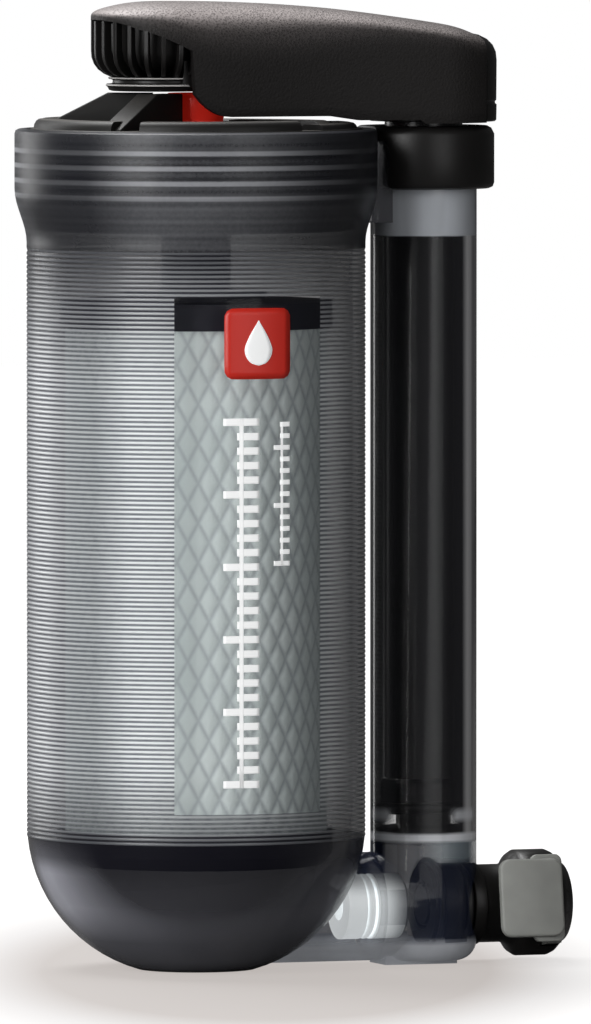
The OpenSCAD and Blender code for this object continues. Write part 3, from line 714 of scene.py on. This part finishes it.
handle = {
    "leftX": -6.15,
    "leftR": 12.1,
    "rightR": 12.6,
    "waist": 1.2,
    "end": 49.2,
    "wallEnd": -4.7,
    "clear": 149.75,
    # height of the crown along the middle, and of the rim where it turns down into the walls
    "crown": [(-18.3, 164.4), (-13, 164.85), (-8, 164.95), (0, 164.9), (8, 164.65), (16, 164.2),
              (24, 163.5), (32, 162.5), (40, 161.35), (45, 160.5), (49.2, 159.3)],
    "rim": [(-18.3, 162.35), (-16.1, 161.8), (-13.8, 160.9), (-11.3, 160.0), (-8, 158.6), (-4.7, 157.1),
            (1, 155.5), (8, 155.0), (15, 155.6), (23, 156.8), (32, 157.4), (40, 157.0), (49.2, 155.6)],
    "wall": 1.5,
    "fins": 17,
    "finStep": 14.4,
    "finHalf": 0.38,
    # side view of a fin from the drum's axis: its outer edge is like a J
    "blade": [(3.2, 152.0), (8.9, 152.15), (9.9, 152.6), (10.9, 153.35), (11.6, 154.3), (12.0, 155.4),
              (12.1, 156.6), (12.1, 161.6), (10.6, 161.6), (10.5, 156.8), (10.0, 155.2), (9.0, 154.0),
              (7.6, 153.3), (3.2, 153.0)],
    # two round ledges under the fins, and the drum that the fins stand on
    "drum": [(0, 149.7), (8.5, 149.7), (9.0, 149.85), (9.25, 150.35), (9.5, 150.55), (9.55, 150.62),
             (9.55, 150.82), (9.4, 150.9), (8.6, 150.95), (8.4, 151.1), (8.4, 151.6), (9.0, 151.72),
             (9.15, 151.8), (9.15, 151.98), (9.0, 152.05), (4.0, 152.1), (6.0, 152.9), (8.0, 154.3),
             (8.9, 156.2), (8.9, 161.2), (0, 161.2)],
    "hub": [(6.75, 144.2), (9.2, 144.2), (9.2, 155.3), (6.75, 155.3)],
    "panel": [(0, 144.15), (12.2, 144.15), (12.45, 144.4), (12.5, 147.0), (12.25, 147.2), (12.2, 147.5),
              (12.45, 147.8), (12.5, 154.6), (12.35, 156.0), (11.8, 157.2), (10.8, 158.2), (9.4, 158.9),
              (8.0, 159.2), (0, 159.2)],
    "panelFrom": 49.35,
    "panelTo": 53.85,
}


def between(points, x):
    # smooth height along a row of places
    for (x0, z0), (x1, z1) in zip(points, points[1:]):
        if x <= x1:
            t = min(1, max(0, (x - x0) / (x1 - x0)))
            i = points.index((x0, z0))
            before = points[max(i - 1, 0)]
            after = points[min(i + 2, len(points) - 1)]
            m0 = (z1 - before[1]) / (x1 - before[0]) * (x1 - x0)
            m1 = (after[1] - z0) / (after[0] - x0) * (x1 - x0)
            return ((2 * t**3 - 3 * t**2 + 1) * z0 + (t**3 - 2 * t**2 + t) * m0
                    + (3 * t**2 - 2 * t**3) * z1 + (t**3 - t**2) * m1)
    return points[-1][1]


def halfWidth(h, x):
    if x < h["leftX"]:
        return math.sqrt(max(0, h["leftR"] ** 2 - (x - h["leftX"]) ** 2))
    if x > pumpX:
        return math.sqrt(max(0, h["rightR"] ** 2 - (x - pumpX) ** 2))
    t = (x - h["leftX"]) / (pumpX - h["leftX"])
    return h["leftR"] + (h["rightR"] - h["leftR"]) * t - h["waist"] * math.sin(math.pi * t) ** 2


def rimShare(h, x, y):
    if x < h["leftX"]:
        return math.hypot(x - h["leftX"], y) / h["leftR"]
    if x > pumpX:
        return math.hypot(x - pumpX, y) / h["rightR"]
    return abs(y) / halfWidth(h, x)


def wallBottom(h, x, front):
    s = pumpX - x
    if x < h["wallEnd"]:
        return between(h["rim"], x) - 0.5
    if math.hypot(s, halfWidth(h, x)) < 13.3 or s < 0:
        return 144.0
    if not front:
        return h["clear"]
    if s < 38.5:
        return 144.65 + 0.75 * min(1, max(0, (s - 16) / 5))
    t = min(1, (s - 38.5) / 7.5)
    return 145.4 + (h["clear"] - 145.4) * t ** 2.4


def makeCover(h):
    bm = bmesh.new()
    across, along = 44, 110
    bmesh.ops.create_grid(bm, x_segments=along, y_segments=across, size=1)
    left = h["leftX"] - h["leftR"]
    for v in bm.verts:
        u, w = (v.co.x + 1) / 2, v.co.y
        # sections stand closer together round the left end
        x = left + 0.02 + (h["end"] - left - 0.02) * (u ** 1.45)
        y = halfWidth(h, x) * math.sin(w * math.pi / 2)
        s = min(1, rimShare(h, x, y))
        top, rim = between(h["crown"], x), between(h["rim"], x)
        power = 2.7 if x < 10 else 2.7 + min(1, (x - 10) / 20) * 0.5
        v.co = (x, y, top - (top - rim) * (1 - max(0, 1 - s ** power) ** (1 / power)))
    bmesh.ops.remove_doubles(bm, verts=bm.verts[:], dist=0.002)
    # the walls hang from the long edges of the crown
    edges = [e for e in bm.edges if e.is_boundary and abs(e.verts[0].co.x - h["end"]) + abs(
        e.verts[1].co.x - h["end"]) > 0.001]
    rows = 7
    level = {v: v.co.z for e in edges for v in e.verts}
    for row in range(rows):
        made = bmesh.ops.extrude_edge_only(bm, edges=edges)
        fresh = [g for g in made["geom"] if isinstance(g, bmesh.types.BMVert)]
        following = {}
        for v in fresh:
            old = min((o for o in level if abs(o.co.x - v.co.x) + abs(o.co.y - v.co.y) < 0.001),
                      key=lambda o: abs(o.co.z - v.co.z))
            low = wallBottom(h, v.co.x, v.co.y < 0)
            v.co.z = level[old] + (low - level[old]) * (row + 1) / rows
            following[v] = level[old]
        level = following
        edges = [g for g in made["geom"] if isinstance(g, bmesh.types.BMEdge)
                 and all(v in following for v in g.verts)]
    for v in bm.verts:
        # the wall leans in a little towards its lower edge
        lean = max(0, between(h["rim"], v.co.x) - v.co.z)
        if v.co.x > h["wallEnd"]:
            v.co.y *= 1 - 0.0012 * lean
    bmesh.ops.recalc_face_normals(bm, faces=bm.faces[:])
    up = sum(f.normal.z for f in bm.faces if f.calc_center_median().z > 160)
    if up < 0:
        bmesh.ops.reverse_faces(bm, faces=bm.faces[:])
    made = put(bm, "gripCover", "plunger", [finishes["grip"]], 50, outward=False)
    wall = made.modifiers.new("wall", "SOLIDIFY")
    wall.thickness, wall.offset = h["wall"] * mm, -1
    rounded(made, 0.35)
    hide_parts("handle_cover")


makeCover(handle)


def makeCore(h):
    middle = (h["leftX"], 0)
    bm = bmesh.new()
    spun(bm, h["drum"], 72, middle)
    for i in range(h["fins"]):
        a = math.radians(180 + (i - (h["fins"] - 1) / 2) * h["finStep"])
        turn = Matrix.Rotation(a, 4, "Z")
        # the crown's rim cuts each fin's top
        edge = between(h["rim"], max(-18.2, h["leftX"] + 12.1 * math.cos(a))) - 0.35
        row = [bm.verts.new((r, -h["finHalf"], min(z, edge))) for r, z in h["blade"]]
        fresh = pushed(bm, [bm.faces.new(row)], (0, 2 * h["finHalf"], 0))
        bmesh.ops.transform(bm, matrix=Matrix.Translation((h["leftX"], 0, 0)) @ turn,
                            verts=row + fresh)
    # the beam inside, its left end, and the hub round the rod
    for low, high in (((-6, -7.4, 151.2), (40, 7.4, 155.2)), ((-5.6, -9.4, 150.4), (-3.0, 9.4, 155.0))):
        box = bmesh.ops.create_cube(bm, size=1)["verts"]
        for v in box:
            v.co = [lo + (hi - lo) * (c + 0.5) for lo, hi, c in zip(low, high, v.co)]
    spun(bm, h["hub"], 64, (pumpX, 0))
    made = put(bm, "handleCore", "plunger", [finishes["black"], finishes["edge"]], 40)
    # the ledges' thin outer rims take the pale finish: a painted glint
    for face in made.data.polygons:
        m = face.center / mm
        r = math.hypot(m.x - h["leftX"], m.y)
        if r > 9.05 and (abs(m.z - 150.75) < 0.12 or abs(m.z - 151.95) < 0.1):
            face.material_index = 1
    rounded(made, 0.12)
    return made


def makeEndPanel(h):
    # a slice of a round block, flush with the end of the grip
    bm = bmesh.new()
    spun(bm, h["panel"], 96, (pumpX, 0))
    for side, place in ((-1, h["panelFrom"]), (1, h["panelTo"])):
        geometry = bm.verts[:] + bm.edges[:] + bm.faces[:]
        cut = bmesh.ops.bisect_plane(bm, geom=geometry, plane_co=(place, 0, 0), plane_no=(side, 0, 0),
                                     clear_outer=True)
        rim = [g for g in cut["geom_cut"] if isinstance(g, bmesh.types.BMEdge)]
        bmesh.ops.edgeloop_fill(bm, edges=rim)
    made = put(bm, "handleEndPanel", "plunger", [finishes["black"]], 35)
    rounded(made, 0.2)
    return made


core = makeCore(handle)
panel = makeEndPanel(handle)
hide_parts("handle_core")
print("handle made")


# bowl

bowl = {
    "bodyR": 28.85,
    "domeR": 26.0,
    "wall": 2.2,
    "ribPitch": ribs["pitch"],
    "ribDepth": ribs["depth"],
    "ribLow": ribs["low"],
    "ribHigh": ribs["high"],
    "windowLow": 28.0,
    "windowHigh": 115.3,
    "windowHalf": 27.0,
    "columns": 120,
}


def makeBowl(b):
    domeX, domeZ = b["bodyR"] - b["domeR"], b["domeR"] - 1
    outline = [(0, 0)]
    for i in range(15):
        a = math.radians(-74 + (74 - 5.0) * i / 14)
        outline.append((domeX + b["domeR"] * math.cos(a), domeZ + b["domeR"] * math.sin(a)))
    count = round((b["ribHigh"] - b["ribLow"]) / b["ribPitch"])
    for i in range(count):
        z = b["ribLow"] + i * b["ribPitch"]
        outline += [(b["bodyR"] - b["ribDepth"], z), (b["bodyR"], z + b["ribPitch"] * 0.3),
                    (b["bodyR"], z + b["ribPitch"] * 0.65)]
    outline.append((b["bodyR"] - b["ribDepth"], b["ribHigh"]))
    outline.append((b["bodyR"], b["ribHigh"] + 0.5))
    for i in range(9):
        t = i / 8
        s = t * t * (3 - 2 * t)
        outline.append((b["bodyR"] + 2.05 * s, 124 + 9 * t))
    outline += [(30.9, 142.4), (30.75, 142.9), (30.3, 143.15), (29.0, 143.2), (28.65, 143.0),
                (28.65, 141), (27.35, 141), (27.35, 124.5), (26.7, 123)]
    inner = [(26.65, z) for z in (110, 70, 26)]
    for i in range(10):
        a = math.radians(-4 - 68 * i / 9)
        inner.append((domeX + 23.8 * math.cos(a), domeZ + 23.8 * math.sin(a)))
    inner.append((0, 2.4))
    bm = bmesh.new()
    spun(bm, outline + inner, b["columns"])
    for side in (-1, 1):
        for nudge in (-0.12, 0.12):
            a = math.radians(-90 + side * b["windowHalf"] + nudge)
            bmesh.ops.bisect_plane(bm, geom=bm.verts[:] + bm.edges[:] + bm.faces[:], dist=1e-5,
                                   plane_co=(0, 0, 0), plane_no=(-math.sin(a), math.cos(a), 0))
    half = b["windowHalf"]
    for v in bm.verts:
        r = math.hypot(v.co.x, v.co.y)
        if r > 28 and b["windowLow"] < v.co.z < b["windowHigh"] and abs(angleOf(v.co) + 90) < half:
            v.co.x *= b["bodyR"] / r
            v.co.y *= b["bodyR"] / r
    for face in bm.faces:
        m = face.calc_center_median()
        r, a = math.hypot(m.x, m.y), angleOf(m)
        inside = r < 27.5 and m.z > 25 or math.hypot(r - domeX, m.z - domeZ) < 25 and m.z < 25
        if inside:
            face.material_index = 4
        elif m.z > 123.4:
            face.material_index = 3
        elif m.z < b["ribLow"]:
            face.material_index = 2
        elif b["windowLow"] < m.z < b["windowHigh"] and abs(a + 90) < half:
            face.material_index = 1
    zones = [finishes[zone] for zone in ("ribbed", "window", "dome", "rim", "inner")]
    made = put(bm, "bowlShell", "housing", zones)
    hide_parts("bowl")


makeBowl(bowl)


boss = {
    "outerR": 9.3,
    "boreR": 7.9,
    "end": 31.45,       # where it meets the cylinder's foot
    "rows": 6,
    "sides": 48,
}


def makeBoss(b):
    # the bowl's side of the inlet channel, from the round bottom to the pump
    def lay(verts, radius, share):
        # moves a ring on to a cylinder, part of the way from the round bottom to the end
        for v in verts:
            a = math.atan2(v.co.z - portZ, v.co.y)
            y, z = radius * math.cos(a), portZ + radius * math.sin(a)
            depth = bowl["domeR"] - 1 - z
            wall = bowl["bodyR"] - bowl["domeR"] + math.sqrt(bowl["domeR"] ** 2 - depth ** 2)
            start = math.sqrt(max(wall * wall - y * y, 1)) - 0.3
            v.co = (start + (b["end"] - start) * share, y, z)

    bm = bmesh.new()
    ring = bmesh.ops.create_circle(bm, segments=b["sides"], radius=b["outerR"])["verts"]
    for v in ring:
        v.co = (0, v.co.x, portZ + v.co.y)
    shares = [row / (b["rows"] - 1) for row in range(b["rows"])]
    stages = [(b["outerR"], share) for share in shares] + [(b["boreR"], share) for share in shares[::-1]]
    lay(ring, *stages[0])
    first = edges = bm.edges[:]
    for radius, share in stages[1:]:
        made = bmesh.ops.extrude_edge_only(bm, edges=edges)
        lay([g for g in made["geom"] if isinstance(g, bmesh.types.BMVert)], radius, share)
        edges = [g for g in made["geom"] if isinstance(g, bmesh.types.BMEdge) and g.is_boundary]
    bmesh.ops.bridge_loops(bm, edges=first + edges)
    made = put(bm, "bowlBoss", "housing", [finishes["channel"], finishes["inner"]])
    for face in made.data.polygons:
        if math.hypot(face.center.y / mm, face.center.z / mm - portZ) < (b["outerR"] + b["boreR"]) / 2:
            face.material_index = 1


makeBoss(boss)


thread = {
    "start": -60,
    "turns": 3,
    "pitch": 2.55,
    "steps": 96,        # in each turn
    "section": ((27.42, 131.6), (28.15, 132.05), (28.15, 132.35), (27.42, 132.8)),
}


def makeThread(t):
    # the cap's thread, seen through the rim as bright lines; its pale colour is a painted glint
    bm = bmesh.new()
    turn = Matrix.Rotation(math.radians(t["start"]), 4, "Z")
    row = [bm.verts.new(turn @ Vector((r, 0, z))) for r, z in t["section"]]
    edges = [bm.edges.new((row[i], row[(i + 1) % 4])) for i in range(4)]
    bm.faces.new(row)
    steps = t["turns"] * t["steps"]
    bmesh.ops.spin(bm, geom=row + edges, cent=(0, 0, 0), axis=(0, 0, 1),
                   angle=2 * math.pi * t["turns"], steps=steps,
                   dvec=(0, 0, t["turns"] * t["pitch"] / steps), use_merge=False, use_duplicate=False)
    bmesh.ops.holes_fill(bm, edges=[e for e in bm.edges if e.is_boundary], sides=4)
    made = put(bm, "bowlThread", "housing", [finishes["thread"]], 30)


makeThread(thread)
print("bowl made")


# cartridge

def makeSleeve(n):
    bm = bmesh.new()
    height = n["high"] - n["low"]
    rows = 150
    spun(bm, [(n["radius"], n["low"] + height * i / rows) for i in range(rows + 1)], 266)
    for v in bm.verts:
        a = math.atan2(v.co.y, v.co.x) * n["radius"] / n["cellWide"]
        t = v.co.z / n["cellHigh"]
        cell = min(abs(math.sin(math.pi * (a + t))), abs(math.sin(math.pi * (a - t))))
        out = (n["radius"] - 0.25 + 0.55 * min(1, cell * 1.25) ** 0.7) / n["radius"]
        v.co.x *= out
        v.co.y *= out
    made = put(bm, "meshSleeve", "housing", [finishes["netting"]], 60)
    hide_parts("cartridge_netting")


makeSleeve(sleeve)
print("cartridge made")


# printed label

label = {
    "radius": 28.87,
    "thick": 0.07,
    "badge": (-88.3, 107.6, 12.0),      # angle, height, side
    "step": 2.45,       # between graduations
    "bars": [(-94.3, 6.3, 32.5, 97.0), (-79.6, 3.1, 70.0, 96.0)],   # angle, width, from, to
}


def wrapped(bm, angle, radius):
    # lays a flat drawing, x across and z up, on the bowl's round front
    for v in bm.verts:
        a = math.radians(angle) + v.co.x / radius
        r = radius + v.co.y
        v.co = (r * math.cos(a), r * math.sin(a), v.co.z)


def slab(bm, across, low, high, thick, corner=0.0):
    # a flat rectangle with its corners cut round, standing out by its thickness
    made = bmesh.ops.create_grid(bm, x_segments=10, y_segments=10, size=0.5)["verts"]
    for v in made:
        v.co = (v.co.x * across, 0, (low + high) / 2 + v.co.y * (high - low))
        dx = abs(v.co.x) - (across / 2 - corner)
        dz = abs(v.co.z - (low + high) / 2) - ((high - low) / 2 - corner)
        if corner and dx > 0 and dz > 0 and math.hypot(dx, dz) > corner:
            pull = corner / math.hypot(dx, dz)
            v.co.x = math.copysign(across / 2 - corner + dx * pull, v.co.x)
            v.co.z = (low + high) / 2 + math.copysign((high - low) / 2 - corner + dz * pull,
                                                      v.co.z - (low + high) / 2)
    for v in made:
        v.co.y = thick
    return made


def makeLabel(n):
    angle, middle, side = n["badge"]
    bm = bmesh.new()
    slab(bm, side, middle - side / 2, middle + side / 2, n["thick"], 1.6)
    wrapped(bm, angle, n["radius"])
    badge = put(bm, "labelBadge", "housing", [finishes["redInk"]])
    # a plain white drop on the badge
    bm = bmesh.new()
    drop = bmesh.ops.create_grid(bm, x_segments=6, y_segments=24, size=1)["verts"]
    for v in drop:
        # round below, then narrowing to its point
        t = (v.co.y + 1) / 2
        turned = 1 - (max(t - 0.36, 0) / 0.64) ** 1.35
        if t < 0.36:
            turned = math.sqrt(max(0, 1 - (1 - t / 0.36) ** 2))
        v.co = (v.co.x * 2.5 * max(turned, 0.03), n["thick"] * 2, middle - 3.7 + t * 7.6)
    wrapped(bm, angle, n["radius"])
    mark = put(bm, "labelDrop", "housing", [finishes["whiteInk"]])
    # two columns of plain graduations
    bm = bmesh.new()
    for angle, width, low, high in n["bars"]:
        part = bmesh.new()
        step, i, z = n["step"], 0, low
        while z + 1.0 < high:
            share = 1.0 if i % 5 == 0 else 0.62
            long = width * share
            verts = slab(part, long, z, z + (1.25 if width > 4 else 0.8), n["thick"])
            for v in verts:
                v.co.x += (width - long) / 2
            z += step if width > 4 else step * 0.8
            i += 1
        slab(part, 0.7 if width > 4 else 0.45, low, z - step + 1.25, n["thick"])
        wrapped(part, angle, n["radius"])
        poured(bm, part)
    scale = put(bm, "labelScale", "housing", [finishes["whiteInk"]])
    for piece, thick in ((badge, 0.06), (mark, 0.05), (scale, 0.06)):
        body = piece.modifiers.new("ink", "SOLIDIFY")
        body.thickness, body.offset = thick * mm, -1


makeLabel(label)
print("label made")


# cap

cap = {
    "lugs": [(-9.5 + 72 * i, 61, 144.3 if i in (1, 2) else 144.95) for i in range(5)],
    "arms": [(-53, 149.3), (-112, 149.3), (43, 144.85), (115, 144.25), (180, 144.85)],
    "flangeTop": 143.4,
    "armHalf": 2.15,
    # socket for the red collar, flat top, skirt, groove for the seal, plug
    "profile": [(7.05, 134), (7.05, 143.4), (7.4, 143.85), (8.6, 143.9), (9.0, 143.5), (9.2, 143.4),
                (22.0, 143.3), (28.1, 143.35), (28.35, 143.1), (28.4, 141.3), (28.2, 141.1),
                (27.05, 141.0), (27.05, 130.3), (25.4, 130.2), (25.4, 128.0), (27.05, 127.9),
                (26.9, 126.2), (26.6, 126.0), (23.5, 126.0), (23.5, 139), (9, 139), (9, 134),
                (7.05, 134)],
}


def makeCap(c):
    bm = bmesh.new()
    spun(bm, c["profile"], 120)
    # the castellated edge
    for azimuth, span, top in c["lugs"]:
        turn = Matrix.Rotation(math.radians(azimuth - 90 - span / 2), 4, "Z")
        profile = ((22.6, 143.2), (27.6, 143.2), (27.55, top - 1.0), (27.2, top - 0.4), (26.8, top - 0.1),
                   (26.3, top), (23.4, top), (22.9, top - 0.25), (22.6, top - 0.75))
        row = [bm.verts.new(turn @ Vector((r, 0, z))) for r, z in profile]
        bmesh.ops.spin(bm, geom=[bm.faces.new(row)], cent=(0, 0, 0), axis=(0, 0, 1),
                       angle=math.radians(span), steps=20, use_merge=False, use_duplicate=False)
    # radial arms: a side view pushed through its width, its upper edges well rounded
    for azimuth, top in c["arms"]:
        start = 26.3 - (top - c["flangeTop"]) * 1.9
        side = [(7.4, 143.2), (26.5, 143.2), (26.3, 143.6), (start, top), (7.4, top)]
        row = [bm.verts.new((r, -c["armHalf"], z)) for r, z in side]
        both = set(row + pushed(bm, [bm.faces.new(row)], (0, 2 * c["armHalf"], 0)))
        long = [e for e in bm.edges if all(v in both for v in e.verts)
                and abs(e.verts[0].co.y - e.verts[1].co.y) < 0.1
                and min(v.co.z for v in e.verts) > 143.3]
        width = 2.0 if top > 146 else 0.5
        bevelled = bmesh.ops.bevel(bm, geom=long, offset=width, offset_type="OFFSET", segments=6,
                                   profile=0.5, affect="EDGES", clamp_overlap=True, material=-1)
        arm = {v for v in both if v.is_valid} | set(bevelled["verts"])
        turn = Matrix.Rotation(math.radians(azimuth - 90), 3, "Z")
        bmesh.ops.rotate(bm, cent=(0, 0, 0), matrix=turn, verts=list(arm))
    made = put(bm, "filterCap", "housing", [finishes["cap"]], 35)
    rounded(made, 0.15)
    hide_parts("filter_cap")


makeCap(cap)
print("cap made")


# pump and inlet

softened("pump_collar", "pumpCollar", "housing", "black", 0.35)
softened("coupling_body", "couplingBody", "housing", "black", 0.3)


def makeCylinder():
    # the pump's cylinder keeps its form; its foot takes the channel's finish
    made = softened("pump_cylinder", "pumpCylinder", "housing", "tube", 0.35)
    made.data.materials.append(finishes["channel"])
    made.data.materials.append(finishes["inner"])
    for v in made.data.vertices:
        # its clear wall bulges a little between the foot and the bracket
        r = math.hypot(v.co.x / mm - pumpX, v.co.y / mm)
        if r > 8.7 and 20 < v.co.z / mm < 124.3:
            v.co.x = pumpX * mm + (v.co.x - pumpX * mm) * (1 + tube["bulge"] / r)
            v.co.y *= 1 + tube["bulge"] / r
    for face in made.data.polygons:
        m = face.center / mm
        fromTube, fromPort = math.hypot(m.x - pumpX, m.y), math.hypot(m.y, m.z - portZ)
        low = m.z < 4.2 or fromPort > 9.0 and m.z < 19.6
        outside = low or fromTube > 8.75 or m.z > 124.5 and fromTube > 8.2
        face.material_index = 2 if not outside else 1 if m.z < 19.5 else 0


makeCylinder()


def makeBracket():
    # the ring round the cylinder's mouth is as clear as the tube; the web to the bowl is darker
    made = softened("cylinder_bracket", "cylinderBracket", "housing", "tube", 0.3)
    made.data.materials.append(finishes["bracket"])
    made.data.materials.append(finishes["inner"])
    for face in made.data.polygons:
        m = face.center / mm
        fromTube = math.hypot(m.x - pumpX, m.y)
        face.material_index = 1 if fromTube > 9.25 else 0 if fromTube > 8.7 else 2


makeBracket()

latch = {
    "roll": 8.0,
    "pad": (51.6, 63.0, -6.7, 6.7),      # left, right, low, high, from the port's axis
    "wing": (57.6, 63.3, -7.5, 7.5),
    "plateX": 60.9,
    "thick": 2.5,
    "plateR": 7.6,
    "plateMiddle": -1.6,
    "tail": [(-8.8, -6.4), (-8.8, 6.4), (-7.4, 7.6)],
    "holeR": 4.15,
    "holeMiddle": -1.8,
}


def roundedSlab(bm, left, right, low, high, near, far, corner, soften):
    # a standing slab with round corners and softened edges
    points = []
    for cx, cz, start in ((right - corner, high - corner, 0), (left + corner, high - corner, 90),
                          (left + corner, low + corner, 180), (right - corner, low + corner, 270)):
        for i in range(7):
            a = math.radians(start + 15 * i)
            points.append((cx + corner * math.cos(a), cz + corner * math.sin(a)))
    row = [bm.verts.new((x, far, z)) for x, z in points]
    fresh = pushed(bm, [bm.faces.new(row)], (0, near - far, 0))
    front = [e for e in bm.edges if e.verts[0] in fresh and e.verts[1] in fresh]
    bmesh.ops.bevel(bm, geom=front, offset=soften, offset_type="OFFSET", segments=3, profile=0.5,
                    affect="EDGES", clamp_overlap=True, material=-1)


def makeLatch(n):
    bm = bmesh.new()
    left, right, low, high = n["pad"]
    roundedSlab(bm, left, right, low, high, -11.0, -9.9, 1.9, 0.5)
    left, right, low, high = n["wing"]
    roundedSlab(bm, left, right, low, high, -9.95, -9.1, 1.3, 0.3)
    # the plate that slides across the coupling, with its long hole
    plate = bmesh.new()
    radius, middle = n["plateR"], n["plateMiddle"]
    points = list(n["tail"])
    points += [(middle + radius * math.sin(math.pi * i / 24), radius * math.cos(math.pi * i / 24))
               for i in range(25)]
    points.append((-7.4, -7.6))
    radius, middle = n["holeR"], n["holeMiddle"]
    half = [(radius * math.sin(math.pi * i / 12), radius * math.cos(math.pi * i / 12)) for i in range(13)]
    hole = half + [(middle - y, -z) for y, z in half]
    edges = []
    for loop in (points, hole):
        verts = [plate.verts.new((n["plateX"], y, z)) for y, z in loop]
        edges += [plate.edges.new((verts[i - 1], verts[i])) for i in range(1, len(verts))]
        edges.append(plate.edges.new((verts[-1], verts[0])))
    bmesh.ops.triangle_fill(plate, edges=edges, use_beauty=True)
    pushed(plate, plate.faces[:], (n["thick"], 0, 0))
    poured(bm, plate)
    turn = Matrix.Rotation(math.radians(-n["roll"]), 3, "X")
    bmesh.ops.rotate(bm, cent=(0, 0, 0), matrix=turn, verts=bm.verts[:])
    bmesh.ops.translate(bm, vec=(0, 0, portZ), verts=bm.verts[:])
    made = put(bm, "latchPlate", "latch", [finishes["grey"]], 40)
    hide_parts("latch_plate")


makeLatch(latch)


outletCollar = {
    # a red cup, widest near its top, that swells from a narrow neck
    "profile": [(4.3, 140.9), (5.2, 140.9), (5.2, 143.3), (4.6, 144.0), (4.65, 144.8), (4.9, 145.8),
                (5.15, 146.8), (5.3, 147.8), (5.28, 148.5), (5.1, 149.0), (4.7, 149.28),
                (4.4, 149.25), (4.15, 149.0), (4.1, 148.0), (4.1, 141.1), (4.3, 140.9)],
    "steps": 72,
}


def makeOutletCollar(o):
    bm = bmesh.new()
    spun(bm, o["profile"], o["steps"])
    made = put(bm, "outletCollar", "outlet_release_collar", [finishes["red"]], 45)
    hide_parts("outlet_collar")


makeOutletCollar(outletCollar)

rollY, rollZ = math.cos(math.radians(latch["roll"])), -math.sin(math.radians(latch["roll"]))
springs = {
    # node: new name, joint, direction, the end that stands still, share of its length that is left
    "outlet_spring": ("outletSpring", "outlet_release", (0, 0, 1), (0, 0, 137.2), 0.5),
    "latch_spring": ("latchSpring", "latch_press", (0, rollY, rollZ),
                     (62.15, 8.25 * rollY, portZ + 8.25 * rollZ), 0.26),
    "inlet_valve_spring": ("inletSpring", "inlet_check", (1, 0, 0), (45.2, 0, portZ), 0.68),
    "outlet_valve_spring": ("outletValveSpring", "outlet_check", (1, 0, 0), (27.4, 0, portZ), 0.82),
}


def makeSprings(plan):
    # each coil is copied from its CAD node into a piece of its own
    for node, (name, joint, direction, still, left) in plan.items():
        bm = bmesh.new()
        bm.from_mesh(nodes[node].data)
        bmesh.ops.remove_doubles(bm, verts=bm.verts[:], dist=0.000002)
        bmesh.ops.scale(bm, vec=(1000, 1000, 1000), verts=bm.verts[:])
        coil = put(bm, name, "housing", [finishes["steel"]], 60, outward=False)
        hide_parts(node)
        [c * mm for c in still]
        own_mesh(coil)


makeSprings(springs)
print("pump and inlet made")
